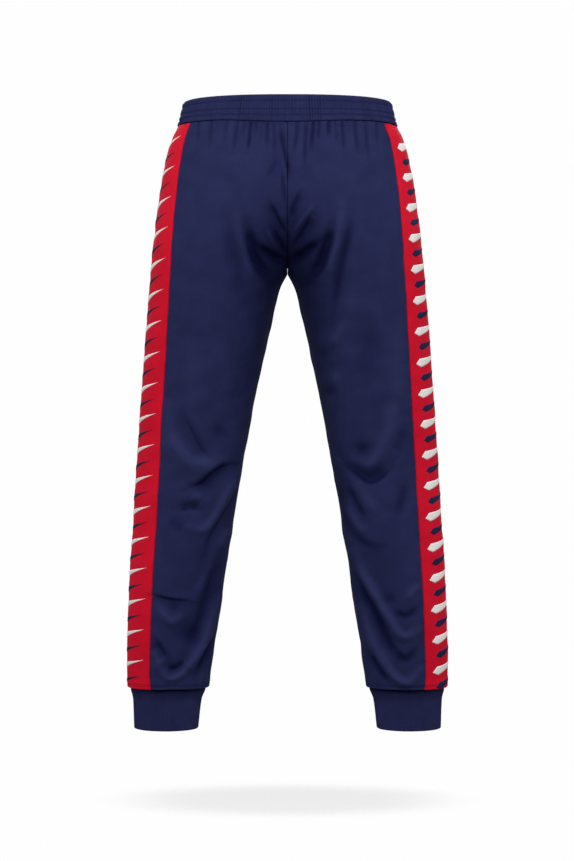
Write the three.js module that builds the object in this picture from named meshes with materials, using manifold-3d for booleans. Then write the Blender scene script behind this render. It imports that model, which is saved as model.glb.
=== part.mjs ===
// Knitted track pants: navy front and back legs, red side panels, a stitched elastic waistband,
// folded rib cuffs and a zipped pocket in the front seam of each side panel.
// Millimetres, +Z up. The wearer's front faces -Y and the wearer's left leg is at +X.
// The origin is the centre of the waist opening, level with the waistband's top edge.
import * as THREE from "three";
import { mergeVertices } from "three/addons/utils/BufferGeometryUtils.js";
import Module from "manifold-3d";

const wasm = await Module();
wasm.setup();

// ---- Driving dimensions ----
const CLOTH = 1.6; // thickness of a knitted panel with its seam allowance pressed flat
const GAP = 0.3; // clearance between neighbouring pieces
const BAND_HEIGHT = 38; // waistband, top edge to seam
const HEM_Z = -937.5; // seam between the leg and its rib cuff
const CUFF_BOTTOM_Z = -997; // folded edge of the rib cuff
const CUFF_THICKNESS = 4.4; // two layers of rib and the air between them
const SIDE_PANEL_WIDTH = 117.5; // measured along the cloth, seam to seam
const ZIP_TOP = new THREE.Vector3(184.4, -36.6, -80);
const ZIP_BOTTOM = new THREE.Vector3(210.4, -15.6, -205);
const ZIP_LIP = 5.4; // half the width of the slot that each zip sits in
const ZIP_LIP_RAMP = 9; // height over which the slot opens and closes
const EYELET_X = 24; // each drawcord eyelet, from the centre front
const EYELET_HOLE = 3.3; // radius of the hole that it is set in
// The pocket bag: its heights, its two faces' offsets from the front panel's outside, how far its mouth
// reaches behind the side panel and its end towards the front, and its wall.
const POCKET = { top: -64, bottom: -236, outside: -8.5, inside: -12.5, mouth: 6, reach: 118, wall: 0.8 };
const LABEL = { width: 32, height: 46, thickness: 0.5, y: 100.2, top: -28 };

// Cross-sections of the left half, waist to cuff. A section is a superellipse between x = inner and
// x = outer, 2 x depth deep about y = middle, with the exponent square. Above the crotch inner is
// negative, so the section is cut at the centre seam; below it the section is a whole leg.
// rear is how far the side panel's rear seam lies inside the outer edge.
const SECTIONS = [
  { z: 0, outer: 165, inner: -165, depth: 102, middle: 0, square: 2.4, rear: 18 },
  { z: -38, outer: 174.5, inner: -174.5, depth: 107, middle: 2, square: 2.4, rear: 21 },
  { z: -58, outer: 184.5, inner: -184.5, depth: 110, middle: 3, square: 2.4, rear: 24.5 },
  { z: -96, outer: 195, inner: -188, depth: 114, middle: 5, square: 2.4, rear: 27.5 },
  { z: -173, outer: 207.5, inner: -115, depth: 118, middle: 7, square: 2.4, rear: 31 },
  { z: -211, outer: 212, inner: -61, depth: 117, middle: 7, square: 2.4, rear: 33 },
  { z: -240, outer: 215, inner: -26, depth: 114, middle: 7, square: 2.35, rear: 34 },
  { z: -258, outer: 216.5, inner: -8, depth: 111, middle: 6, square: 2.35, rear: 34.5 },
  { z: -266.5, outer: 217.5, inner: 0.2, depth: 110, middle: 6, square: 2.35, rear: 35 },
  { z: -288, outer: 219.5, inner: 11.5, depth: 106, middle: 5, square: 2.3, rear: 35.5 },
  { z: -346, outer: 224.5, inner: 26, depth: 98, middle: 3, square: 2.3, rear: 37 },
  { z: -499, outer: 236, inner: 57, depth: 83, middle: -3, square: 2.25, rear: 39.5 },
  { z: -576, outer: 241.5, inner: 70.5, depth: 77, middle: -6, square: 2.2, rear: 40.5 },
  { z: -653, outer: 246, inner: 83, depth: 74, middle: -3, square: 2.2, rear: 40.5 },
  { z: -806, outer: 254, inner: 106.5, depth: 67, middle: 6, square: 2.15, rear: 40 },
  { z: -902, outer: 256, inner: 121.5, depth: 59, middle: 8, square: 2.1, rear: 39 },
  { z: -922, outer: 254, inner: 126, depth: 56, middle: 8, square: 2.1, rear: 38.5 },
  { z: -937.5, outer: 249, inner: 132, depth: 51, middle: 8, square: 2.05, rear: 37.5 },
  { z: -950, outer: 246, inner: 137, depth: 47, middle: 8, square: 2, rear: 37.5 },
  { z: -997, outer: 244, inner: 142.5, depth: 45, middle: 8, square: 2, rear: 37.5 },
];
const PANEL_ROWS = [
  -BAND_HEIGHT - GAP, -48, -58, -70, -84, -105, -135, -173, -205, -228, -245, -256, -262, -266.5,
  -274, -288, -315, -346, -420, -499, -576, -653, -730, -806, -870, -902, -922, HEM_Z,
];
const BACK_COLUMNS = 8;
const FRONT_COLUMNS = 7;
const SIDE_COLUMNS = 5;
const RING_STEPS = 40;
const CUFF_STEPS = 26;

const cloth = (color, roughness) => new THREE.MeshStandardMaterial({ color, roughness, metalness: 0 });
const FINISH = {
  navyKnit: cloth(0x232647, 0.62),
  redKnit: cloth(0xcd1930, 0.66),
  navyRib: cloth(0x1f2140, 0.8),
  elastic: cloth(0xe6e4de, 0.85),
  lining: cloth(0x1b1d38, 0.8),
  tape: cloth(0x191b33, 0.75),
  coil: cloth(0x15172b, 0.45),
  label: cloth(0xf1efe9, 0.7),
  metal: new THREE.MeshStandardMaterial({ color: 0x2b2d33, roughness: 0.35, metalness: 0.9 }),
};

// ---- The garment's surface ----

// Monotone cubic interpolation of one column of SECTIONS.
function smooth(key, z) {
  const last = SECTIONS.length - 1;
  let i = 0;
  while (i < last - 1 && z < SECTIONS[i + 1].z) i += 1;
  const rise = (k) => (SECTIONS[k + 1][key] - SECTIONS[k][key]) / (SECTIONS[k + 1].z - SECTIONS[k].z);
  const slope = (k) => {
    if (k === 0) return rise(0);
    if (k === last) return rise(last - 1);
    const before = rise(k - 1);
    const after = rise(k);
    return before * after <= 0 ? 0 : (2 * before * after) / (before + after);
  };
  const step = SECTIONS[i + 1].z - SECTIONS[i].z;
  const t = Math.min(1, Math.max(0, (z - SECTIONS[i].z) / step));
  return (
    (2 * t ** 3 - 3 * t ** 2 + 1) * SECTIONS[i][key] +
    (t ** 3 - 2 * t ** 2 + t) * step * slope(i) +
    (3 * t ** 2 - 2 * t ** 3) * SECTIONS[i + 1][key] +
    (t ** 3 - t ** 2) * step * slope(i + 1)
  );
}

function sectionAt(z) {
  const outer = smooth("outer", z);
  const inner = smooth("inner", z);
  return {
    z,
    outer,
    centre: (outer + inner) / 2,
    half: (outer - inner) / 2,
    depth: smooth("depth", z),
    middle: smooth("middle", z),
    square: smooth("square", z),
    rear: smooth("rear", z),
  };
}

const signedPower = (value, power) => Math.sign(value) * Math.abs(value) ** power;

// A point of the section: angle 0 is the outer side, 90 degrees the back, and offset is along the
// outward normal, in the level plane.
function pointOn(section, angle, offset = 0) {
  const { half, depth, square } = section;
  const x = half * signedPower(Math.cos(angle), 2 / square);
  const y = depth * signedPower(Math.sin(angle), 2 / square);
  const normal = new THREE.Vector2(
    signedPower(x / half, square - 1) / half,
    signedPower(y / depth, square - 1) / depth,
  ).normalize();
  return new THREE.Vector3(
    section.centre + x + offset * normal.x,
    section.middle + y + offset * normal.y,
    section.z,
  );
}

// Angles that cut the stretch from one angle to another into equal lengths of cloth.
function evenAngles(section, from, to, count) {
  const fine = 160;
  const lengths = [0];
  let previous = pointOn(section, from);
  for (let i = 1; i <= fine; i += 1) {
    const next = pointOn(section, from + ((to - from) * i) / fine);
    lengths.push(lengths[i - 1] + next.distanceTo(previous));
    previous = next;
  }
  return Array.from({ length: count + 1 }, (_, k) => {
    const wanted = (lengths[fine] * k) / count;
    let i = 1;
    while (i < fine && lengths[i] < wanted) i += 1;
    const part = (wanted - lengths[i - 1]) / (lengths[i] - lengths[i - 1]);
    return from + ((to - from) * (i - 1 + part)) / fine;
  });
}

// The angle that lies a length of cloth further round, towards the front.
function walk(section, from, length) {
  const step = Math.sign(-length) * 0.004;
  let angle = from;
  let left = Math.abs(length);
  let here = pointOn(section, angle);
  for (;;) {
    const next = pointOn(section, angle + step);
    const gone = next.distanceTo(here);
    if (gone >= left) return angle + (step * left) / gone;
    left -= gone;
    angle += step;
    here = next;
  }
}

const rearSeam = (section) =>
  Math.acos(((section.outer - section.rear - section.centre) / section.half) ** (section.square / 2));
const frontSeam = (section) => walk(section, rearSeam(section), SIDE_PANEL_WIDTH);

// Half the width of the gap that the front seam of the side panel leaves: the zip's slot, or a seam.
function slotHalf(z) {
  const inside = Math.min(ZIP_TOP.z + ZIP_LIP_RAMP - z, z - (ZIP_BOTTOM.z - ZIP_LIP_RAMP));
  const open = Math.min(1, Math.max(0, inside / ZIP_LIP_RAMP));
  return GAP / 2 + (ZIP_LIP - GAP / 2) * open;
}

// Where a leg panel ends: at the centre seam above the crotch and at the inseam below it.
function innerSeam(section) {
  const inseam = Math.PI - Math.asin((GAP / 2 / section.depth) ** (section.square / 2));
  const reach = (GAP / 2 - section.centre) / section.half;
  if (reach <= -1) return inseam;
  const centreSeam = Math.acos(signedPower(reach, section.square / 2));
  return Math.min(inseam, centreSeam);
}

// ---- Solids ----

function geometryFrom(points, faces) {
  const geometry = new THREE.BufferGeometry();
  const positions = points.flatMap((p) => [p.x, p.y, p.z]);
  geometry.setAttribute("position", new THREE.Float32BufferAttribute(positions, 3));
  let volume = 0;
  for (const [a, b, c] of faces) volume += points[a].dot(points[b].clone().cross(points[c]));
  geometry.setIndex((volume < 0 ? faces.map((f) => [f[0], f[2], f[1]]) : faces).flat());
  return geometry;
}

// Joins equal rows of points into one solid. A row runs along the outside of the cloth and back along
// its inside; closed joins the last row to the first, and otherwise each end gets a cap.
function loft(rows, closed = false) {
  const size = rows[0].length;
  const faces = [];
  const quad = (a, b, c, d) => faces.push([a, b, c], [a, c, d]);
  const spans = closed ? rows.length : rows.length - 1;
  for (let k = 0; k < spans; k += 1) {
    const here = k * size;
    const there = ((k + 1) % rows.length) * size;
    for (let i = 0; i < size; i += 1) {
      const j = (i + 1) % size;
      quad(here + i, here + j, there + j, there + i);
    }
  }
  if (!closed) {
    const end = (rows.length - 1) * size;
    for (let i = 0; i < size / 2 - 1; i += 1) {
      quad(i, size - 1 - i, size - 2 - i, i + 1);
      quad(end + i, end + i + 1, end + size - 2 - i, end + size - 1 - i);
    }
  }
  return geometryFrom(rows.flat(), faces);
}

// A panel of cloth between two seams, given as the angles at each height.
function panel(heights, seams, columns, outside = 0, inside = -CLOTH) {
  return loft(
    heights.map((z) => {
      const section = sectionAt(z);
      const [from, to] = seams(section);
      const angles = evenAngles(section, from, to, columns);
      const face = angles.map((angle) => pointOn(section, angle, outside));
      const back = angles.map((angle) => pointOn(section, angle, inside));
      return [...face, ...back.reverse()];
    }),
  );
}

// A band that closes on itself: profile gives [height, offset] pairs, outside then inside.
function ring(profile, steps) {
  return loft(
    Array.from({ length: steps }, (_, k) =>
      profile.map(([z, offset]) => {
        const section = sectionAt(z);
        const angles = evenAngles(section, 0, 2 * Math.PI, steps);
        return pointOn(section, angles[k], offset);
      }),
    ),
    true,
  );
}

function solidOf(geometry) {
  const bare = geometry.clone();
  bare.deleteAttribute("normal");
  bare.deleteAttribute("uv");
  const merged = mergeVertices(bare, 1e-4);
  return new wasm.Manifold(
    new wasm.Mesh({
      numProp: 3,
      vertProperties: merged.attributes.position.array,
      triVerts: new Uint32Array(merged.index.array),
    }),
  );
}

function geometryOf(solid) {
  const mesh = solid.getMesh();
  return new THREE.BufferGeometry()
    .setAttribute("position", new THREE.BufferAttribute(mesh.vertProperties, 3))
    .setIndex(new THREE.BufferAttribute(mesh.triVerts, 1));
}

const cutAway = (geometry, tools) =>
  geometryOf(tools.reduce((solid, tool) => solid.subtract(solidOf(tool)), solidOf(geometry)));

function node(name, geometry, material) {
  const mesh = new THREE.Mesh(geometry, material);
  mesh.name = name;
  return mesh;
}

// A plain block between two corners.
function block(low, high) {
  const geometry = new THREE.BoxGeometry(high[0] - low[0], high[1] - low[1], high[2] - low[2]);
  return geometry.translate((low[0] + high[0]) / 2, (low[1] + high[1]) / 2, (low[2] + high[2]) / 2);
}

// An outline in the plane of the first two axes, extruded along the third from low to high.
function plate(points, low, high, holes = []) {
  const shape = new THREE.Shape(points.map(([x, y]) => new THREE.Vector2(x, y)));
  shape.holes = holes.map((hole) => new THREE.Path(hole.map(([x, y]) => new THREE.Vector2(x, y))));
  const geometry = new THREE.ExtrudeGeometry(shape, { depth: high - low, bevelEnabled: false });
  return geometry.translate(0, 0, low);
}

// ---- Waistband ----

const band = { layer: CLOTH, slot: 2.4 };
const bandInside = -(2 * band.layer + band.slot);

function eyeletFrame(side) {
  const section = sectionAt(-BAND_HEIGHT / 2);
  const reach = (EYELET_X - section.centre) / section.half;
  const angle = -Math.acos(signedPower(reach, section.square / 2));
  const on = pointOn(section, angle);
  const along = pointOn(section, angle + 0.01).sub(on);
  const up = pointOn(sectionAt(section.z + 5), angle).sub(on);
  const out = along.cross(up).normalize();
  const frame = new THREE.Group();
  frame.position.set(side * on.x, on.y, on.z);
  out.x *= side;
  frame.quaternion.setFromUnitVectors(new THREE.Vector3(0, 1, 0), out);
  frame.updateMatrix();
  return frame;
}

function waistbandCasing() {
  const low = -BAND_HEIGHT;
  const casing = ring(
    [
      [low, 0],
      [-1.2, 0],
      [0, -1.2],
      [0, bandInside + 1.2],
      [-1.2, bandInside],
      [low, bandInside],
      [low, bandInside + band.layer],
      [-band.layer, bandInside + band.layer],
      [-band.layer, -band.layer],
      [low, -band.layer],
    ],
    RING_STEPS,
  );
  const punch = new THREE.CylinderGeometry(EYELET_HOLE, EYELET_HOLE, CLOTH + 1, 16).translate(0, -0.5, 0);
  const holes = [1, -1].map((side) => punch.clone().applyMatrix4(eyeletFrame(side).matrix));
  return cutAway(casing, holes);
}

function waistbandElastic() {
  const outside = -band.layer - GAP;
  const inside = outside - (band.slot - 2 * GAP);
  const low = -BAND_HEIGHT + 2;
  const high = -band.layer - 1.4;
  return ring(
    [
      [low, outside],
      [high, outside],
      [high, inside],
      [low, inside],
    ],
    RING_STEPS,
  );
}

function eyelet(side) {
  const profile = [
    [2.2, -1.5],
    [3, -1.5],
    [3, 0.3],
    [4.6, 0.3],
    [4.6, 0.7],
    [3.9, 1.1],
    [2.8, 1.1],
    [2.2, 0.6],
    [2.2, -1.5],
  ];
  const geometry = new THREE.LatheGeometry(
    profile.map(([r, y]) => new THREE.Vector2(r, y)),
    16,
  );
  const frame = eyeletFrame(side);
  frame.add(node(side > 0 ? "left_drawcord_eyelet" : "right_drawcord_eyelet", geometry, FINISH.metal));
  return frame;
}

// ---- One half of the garment ----

// The zip's own frame: x across the zip towards the wearer's front, y outwards, z up along the zip.
function zipFrame() {
  const up = ZIP_TOP.clone().sub(ZIP_BOTTOM).normalize();
  const middle = sectionAt((ZIP_TOP.z + ZIP_BOTTOM.z) / 2);
  const angle = frontSeam(middle);
  const out = pointOn(middle, angle, 1).sub(pointOn(middle, angle));
  out.addScaledVector(up, -out.dot(up)).normalize();
  const across = out.clone().cross(up);
  const frame = new THREE.Group();
  frame.position.copy(ZIP_TOP);
  frame.quaternion.setFromRotationMatrix(new THREE.Matrix4().makeBasis(across, out, up));
  return frame;
}

const ZIP = {
  length: ZIP_TOP.distanceTo(ZIP_BOTTOM),
  tapeInner: 0.8,
  tapeOuter: 7.6,
  tapeTop: -4.1,
  tapeThickness: 0.7,
  coilInner: 0.75,
  coilOuter: 2.4,
  coilBottom: -3.8,
  coilTop: -2.3,
  stopOuter: 2.7, // the stops reach a little past the coils, and stand a little above them
  stopRise: 0.4,
  endInset: 3, // from the end of the coils to the zip's end
  sliderTop: -3.2, // the slider's upper end when the zip is closed
  sliderHalf: 3.4,
  sliderLength: 9,
  archHalf: 0.8, // half the thickness of the slider's arch
  webHalf: 0.4,
  plate: 0.8,
};

// The half on the side that its sign says, and the coil: a flattened ridge beside the zip's middle.
function zipHalf(side, word, name) {
  const strip = (inner, outer, bottom, top, endGap) =>
    block([Math.min(side * inner, side * outer), bottom, -ZIP.length + endGap], [
      Math.max(side * inner, side * outer),
      top,
      -endGap,
    ]);
  const tape = strip(ZIP.tapeInner, ZIP.tapeOuter, ZIP.tapeTop - ZIP.tapeThickness, ZIP.tapeTop, -ZIP.endInset);
  const coilPoints = [
    [ZIP.coilInner, ZIP.coilBottom],
    [ZIP.coilOuter, ZIP.coilBottom],
    [ZIP.coilOuter, ZIP.coilTop - 0.5],
    [ZIP.coilOuter - 0.5, ZIP.coilTop],
    [ZIP.coilInner + 0.3, ZIP.coilTop],
    [ZIP.coilInner, ZIP.coilTop - 0.3],
  ];
  const outline = coilPoints.map(([x, y]) => [side * x, y]);
  const coil = plate(side > 0 ? outline : outline.reverse(), -ZIP.length + ZIP.endInset, -ZIP.endInset);
  const stop = block(
    [Math.min(side * ZIP.coilInner, side * ZIP.stopOuter), ZIP.coilBottom, GAP + 0.2 - ZIP.endInset],
    [Math.max(side * ZIP.coilInner, side * ZIP.stopOuter), ZIP.coilTop + ZIP.stopRise, GAP + 0.2],
  );
  return [
    node(`${name}_zip_tape_${word}`, tape, FINISH.tape),
    node(`${name}_zip_coil_${word}`, coil, FINISH.coil),
    node(`${name}_zip_top_stop_${word}`, stop, FINISH.metal),
  ];
}

// The slider is an I-beam whose web runs between the two coils, with an arch that holds the pull.
function zipSlider(name) {
  const s = ZIP.sliderHalf;
  const topLow = ZIP.coilTop + GAP;
  const topHigh = topLow + ZIP.plate;
  const bottomHigh = ZIP.tapeTop - ZIP.tapeThickness - GAP;
  const bottomLow = bottomHigh - ZIP.plate;
  const w = ZIP.webHalf;
  const beam = plate(
    [
      [-s, bottomLow],
      [s, bottomLow],
      [s, bottomHigh],
      [w, bottomHigh],
      [w, topLow],
      [s, topLow],
      [s, topHigh],
      [-s, topHigh],
      [-s, topLow],
      [-w, topLow],
      [-w, bottomHigh],
      [-s, bottomHigh],
    ],
    ZIP.sliderTop - ZIP.sliderLength,
    ZIP.sliderTop,
  );
  const pivot = pullPivot();
  const arch = plate(
    [
      [-3.2, topHigh - 0.2],
      [-2, topHigh - 0.2],
      [-2, topHigh + 2],
      [2, topHigh + 2],
      [2, topHigh - 0.2],
      [3.2, topHigh - 0.2],
      [3.2, topHigh + 2.2],
      [2.2, topHigh + 2.9],
      [-2.2, topHigh + 2.9],
      [-3.2, topHigh + 2.2],
    ],
    -ZIP.archHalf,
    ZIP.archHalf,
  );
  arch.rotateY(-Math.PI / 2).translate(0, 0, pivot.z);
  const solid = solidOf(beam).add(solidOf(arch));
  return node(`${name}_zip_slider`, geometryOf(solid), FINISH.metal);
}

function pullPivot() {
  const top = ZIP.coilTop + GAP + ZIP.plate;
  return { y: top + 1.05, z: ZIP.sliderTop - ZIP.sliderLength / 2 };
}

// The pull hangs from its crossbar, which passes through the slider's arch.
function zipPull(name) {
  const { y, z } = pullPivot();
  const outline = [
    [-2.6, 0.5],
    [-2.6, -6],
    [-2.1, -20],
    [-1, -21.5],
    [1, -21.5],
    [2.1, -20],
    [2.6, -6],
    [2.6, 0.5],
  ];
  const eye = [
    [-1.5, -0.5],
    [1.5, -0.5],
    [1.5, -5],
    [-1.5, -5],
  ];
  const geometry = plate(outline, -0.45, 0.45, [eye]);
  // The outline's second axis becomes the zip's axis and its thickness points outwards.
  geometry.rotateX(Math.PI / 2).translate(0, y, z);
  return node(`${name}_zip_pull`, geometry, FINISH.metal);
}

function zip(name) {
  const frame = zipFrame();
  const bottomStop = block(
    [-ZIP.coilOuter, ZIP.coilBottom, -ZIP.length - GAP],
    [ZIP.coilOuter, ZIP.coilTop + ZIP.stopRise, -ZIP.length + ZIP.endInset - GAP - 0.1],
  );
  frame.add(
    ...zipHalf(1, "front", name),
    ...zipHalf(-1, "side", name),
    node(`${name}_zip_bottom_stop`, bottomStop, FINISH.metal),
    zipSlider(name),
    zipPull(name),
  );
  return frame;
}

// A flat pouch behind the front panel whose mouth faces the zip.
function pocketBag() {
  const { top, bottom, outside, inside, mouth, reach, wall } = POCKET;
  const between = [-90, -120, -160, -200];
  const seams = (from, to) => (section) => [
    walk(section, frontSeam(section), from),
    walk(section, frontSeam(section), to),
  ];
  const pouch = panel([top, ...between, bottom], seams(-mouth, reach), 5, outside, inside);
  const hollowHeights = [top - wall, ...between, bottom + wall];
  const hollow = panel(hollowHeights, seams(-2 * mouth, reach - wall), 5, outside - wall, inside + wall);
  return cutAway(pouch, [hollow]);
}

function half(name) {
  const group = new THREE.Group();
  const back = panel(
    PANEL_ROWS,
    (section) => [walk(section, rearSeam(section), -GAP / 2), innerSeam(section)],
    BACK_COLUMNS,
  );
  const side = panel(
    PANEL_ROWS,
    (section) => [
      walk(section, frontSeam(section), -slotHalf(section.z)),
      walk(section, rearSeam(section), GAP / 2),
    ],
    SIDE_COLUMNS,
  );
  const front = panel(
    PANEL_ROWS,
    (section) => [-innerSeam(section), walk(section, frontSeam(section), slotHalf(section.z))],
    FRONT_COLUMNS,
  );
  const cuffTop = HEM_Z - GAP;
  const cuff = ring(
    [
      [cuffTop, 0],
      [CUFF_BOTTOM_Z + 1, 0],
      [CUFF_BOTTOM_Z, -1.2],
      [CUFF_BOTTOM_Z, 1.2 - CUFF_THICKNESS],
      [CUFF_BOTTOM_Z + 1, -CUFF_THICKNESS],
      [cuffTop, -CUFF_THICKNESS],
      [cuffTop, CLOTH - CUFF_THICKNESS],
      [CUFF_BOTTOM_Z + CLOTH, CLOTH - CUFF_THICKNESS],
      [CUFF_BOTTOM_Z + CLOTH, -CLOTH],
      [cuffTop, -CLOTH],
    ],
    CUFF_STEPS,
  );
  group.add(
    node(`${name}_leg_back_panel`, back, FINISH.navyKnit),
    node(`${name}_side_panel`, side, FINISH.redKnit),
    node(`${name}_leg_front_panel`, front, FINISH.navyKnit),
    node(`${name}_rib_cuff`, cuff, FINISH.navyRib),
    node(`${name}_pocket_bag`, pocketBag(), FINISH.lining),
    zip(name),
  );
  return group;
}

// ---- Assembly ----

const pants = new THREE.Group();
const rightHalf = half("right");
rightHalf.scale.x = -1;
const label = block(
  [-LABEL.width / 2, LABEL.y, LABEL.top - LABEL.height],
  [LABEL.width / 2, LABEL.y + LABEL.thickness, LABEL.top],
);
pants.add(
  node("waistband_casing", waistbandCasing(), FINISH.navyKnit),
  node("waistband_elastic", waistbandElastic(), FINISH.elastic),
  eyelet(1),
  eyelet(-1),
  node("care_label", label, FINISH.label),
  half("left"),
  rightHalf,
);

export default pants;
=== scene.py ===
"""Knitted track pants, seen from behind: navy legs, red side panels with slanted marks, a stitched
elastic waistband, rib cuffs and a zipped pocket in each side panel's front seam.

Lengths are millimetres until a mesh is made, and metres in Blender. +Z is up, the wearer's back faces
+Y and the wearer's left leg is at +X.
"""
import math

import bpy
import numpy as np
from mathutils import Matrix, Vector


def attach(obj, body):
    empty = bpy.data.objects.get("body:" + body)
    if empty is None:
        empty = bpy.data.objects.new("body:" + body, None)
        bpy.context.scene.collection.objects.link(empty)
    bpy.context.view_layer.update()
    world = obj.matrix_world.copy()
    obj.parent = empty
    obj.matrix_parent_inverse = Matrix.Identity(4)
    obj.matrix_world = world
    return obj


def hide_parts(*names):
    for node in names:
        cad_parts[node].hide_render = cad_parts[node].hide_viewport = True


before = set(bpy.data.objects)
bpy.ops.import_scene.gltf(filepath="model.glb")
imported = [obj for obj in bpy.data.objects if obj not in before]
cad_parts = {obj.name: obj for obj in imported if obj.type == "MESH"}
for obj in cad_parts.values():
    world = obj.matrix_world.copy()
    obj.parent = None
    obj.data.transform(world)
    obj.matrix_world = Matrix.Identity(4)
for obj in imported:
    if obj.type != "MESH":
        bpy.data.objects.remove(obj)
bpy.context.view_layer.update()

MM = 0.001  # metres in a millimetre

# ---- Driving dimensions. The camera, the floor and the lights are in metres. ----
CAMERA_DISTANCE = 3.4
CAMERA_HEIGHT = -0.5225
CAMERA_ACROSS = 0.0008
LENS = 88.85
FLOOR_Z = -1.113
FLOOR_REACH = (0.33, 0.185)  # half the width and depth of the patch of floor
FLOOR_GREY = 0.485
FLOOR_SHARE = 0.33  # how much of the floor shows against the backdrop

AMBIENT_ABOVE = 0.75
AMBIENT_BELOW = 0.10
FLOOR_GLOW = 0.24  # the light that a pale floor sends up
BACKDROP = 0.991
KEY = 14  # watts of each light
LIFT = 9
FILL = 14

CLOTH = 1.1  # thickness of a panel
GAP = 0.3  # between neighbouring pieces
BAND_HEIGHT = 38
SEAM_DIP = 5.5  # of the seam under the band, at the centre back
CROTCH_Z = -262  # above this the two halves meet
HEM_Z = -931.5
CUFF_BOTTOM_Z = -997
SIDE_PANEL_WIDTH = 117.5
ZIP_TOP_Z = -80
ZIP_BOTTOM_Z = -205
ZIP_LIP = 5.4
ZIP_LIP_RAMP = 9

ROW_STEP = 1.8  # spacing of a panel's mesh along the leg
COLUMN_STEP = 1.8  # and across it
FINE_STEP = 0.6  # near the band and the hem
HEM_STITCHES = (6.2, 8.6)  # above the hem

# Cross-sections of the left half, as the frame's nodes have them: a superellipse from x = inner to
# x = outer, 2 x depth deep about y = middle. rear is the inset of the side panel's rear seam. The crotch
# is a little lower here than in the frame.
SECTION_KEYS = ("z", "outer", "inner", "depth", "middle", "square", "rear")
SECTIONS = np.array([
    (0, 165, -165, 102, 0, 2.4, 18),
    (-38, 174.5, -174.5, 107, 2, 2.4, 21),
    (-58, 184.5, -184.5, 110, 3, 2.4, 24.5),
    (-96, 195, -188, 114, 5, 2.4, 27.5),
    (-173, 207.5, -115, 118, 7, 2.4, 31),
    (-211, 212, -61, 117, 7, 2.4, 33),
    (-240, 215, -26, 114, 7, 2.35, 34),
    (-258, 216.5, -8, 111, 6, 2.35, 34.5),
    (-266.5, 217.5, -5, 110, 6, 2.35, 35),
    (-288, 219.5, 9.5, 106, 5, 2.3, 35.5),
    (-346, 224.5, 24, 98, 3, 2.3, 37),
    (-499, 236, 57, 83, -3, 2.25, 39.5),
    (-576, 241.5, 70.5, 77, -6, 2.2, 40.5),
    (-653, 246, 83, 74, -3, 2.2, 40.5),
    (-806, 254, 106.5, 67, 6, 2.15, 40),
    (-902, 256, 121.5, 59, 8, 2.1, 39),
    (-922, 254, 126, 56, 8, 2.1, 38.5),
    (-937.5, 249, 132, 51, 8, 2.05, 37.5),
    (-950, 246, 137, 47, 8, 2, 37.5),
    (-997, 244, 142.5, 45, 8, 2, 37.5),
])


# ---- The garment's surface ----
def spline(key, z):
    """One column of SECTIONS at the heights z, by monotone cubic interpolation."""
    knots = SECTIONS[:, 0]
    values = SECTIONS[:, SECTION_KEYS.index(key)]
    rise = np.diff(values) / np.diff(knots)
    inside = np.where(
        rise[:-1] * rise[1:] <= 0,
        0,
        2 * rise[:-1] * rise[1:] / np.where(rise[:-1] + rise[1:] == 0, 1, rise[:-1] + rise[1:]),
    )
    slope = np.concatenate([rise[:1], inside, rise[-1:]])
    i = np.clip(np.searchsorted(-knots, -z, side="right") - 1, 0, len(knots) - 2)
    step = knots[i + 1] - knots[i]
    t = np.clip((z - knots[i]) / step, 0, 1)
    return (
        (2 * t**3 - 3 * t**2 + 1) * values[i]
        + (t**3 - 2 * t**2 + t) * step * slope[i]
        + (3 * t**2 - 2 * t**3) * values[i + 1]
        + (t**3 - t**2) * step * slope[i + 1]
    )


LEVELS = np.arange(0, CUFF_BOTTOM_Z - 1, -0.5)
EASE = 13  # half-width of the smoothing that hides the sections' own steps, away from band and hem


def eased(values):
    """A measure at LEVELS, smoothed."""
    reach = np.arange(-3 * EASE, 3 * EASE + 0.5, 0.5)
    kernel = np.exp(-((reach / EASE) ** 2))
    padded = np.pad(values, len(reach) // 2, mode="reflect", reflect_type="odd")
    blurred = np.convolve(padded, kernel / kernel.sum(), mode="valid")
    part = np.clip(np.minimum((-60 - LEVELS) / 50, (LEVELS + 880) / 60), 0, 1)
    return values + (blurred - values) * part


TABLE = {key: eased(spline(key, LEVELS)) for key in SECTION_KEYS[1:]}


def smooth(key, z):
    """A section's measure at the heights z."""
    return np.interp(-z, -LEVELS, TABLE[key])


def signed_power(value, power):
    return np.sign(value) * np.abs(value) ** power


def point_on(z, angle):
    """x and y of the surface at a height and an angle, 0 being the outer side and 90 degrees the back."""
    outer = smooth("outer", z)
    inner = smooth("inner", z)
    square = smooth("square", z)
    x = (outer + inner) / 2 + (outer - inner) / 2 * signed_power(np.cos(angle), 2 / square)
    y = smooth("middle", z) + smooth("depth", z) * signed_power(np.sin(angle), 2 / square)
    return x, y


FARTHEST_WALK = 2.2  # radians


def walk(z, start, length):
    """The angle that lies a length of cloth past start, towards the front, at each height."""
    length = np.broadcast_to(np.asarray(length, float), z.shape)
    sweep = np.linspace(0, FARTHEST_WALK, 700)
    turned = start[:, None] - np.sign(length)[:, None] * sweep[None]
    x, y = point_on(np.broadcast_to(z[:, None], turned.shape), turned)
    run = np.concatenate([np.zeros((len(z), 1)), np.cumsum(np.hypot(np.diff(x), np.diff(y)), 1)], 1)
    return np.array([np.interp(abs(way), r, t) for way, r, t in zip(length, run, turned)])


def rear_seam(z):
    outer = smooth("outer", z)
    half = (outer - smooth("inner", z)) / 2
    return np.arccos(((half - smooth("rear", z)) / half) ** (smooth("square", z) / 2))


def front_seam(z):
    return walk(z, rear_seam(z), SIDE_PANEL_WIDTH)


def inner_seam(z):
    """The centre seam above the crotch, and the inseam below it."""
    outer = smooth("outer", z)
    inner = smooth("inner", z)
    reach = np.clip(-(outer + inner) / (outer - inner), -1, 1)
    return np.arccos(signed_power(reach, smooth("square", z) / 2))


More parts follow.
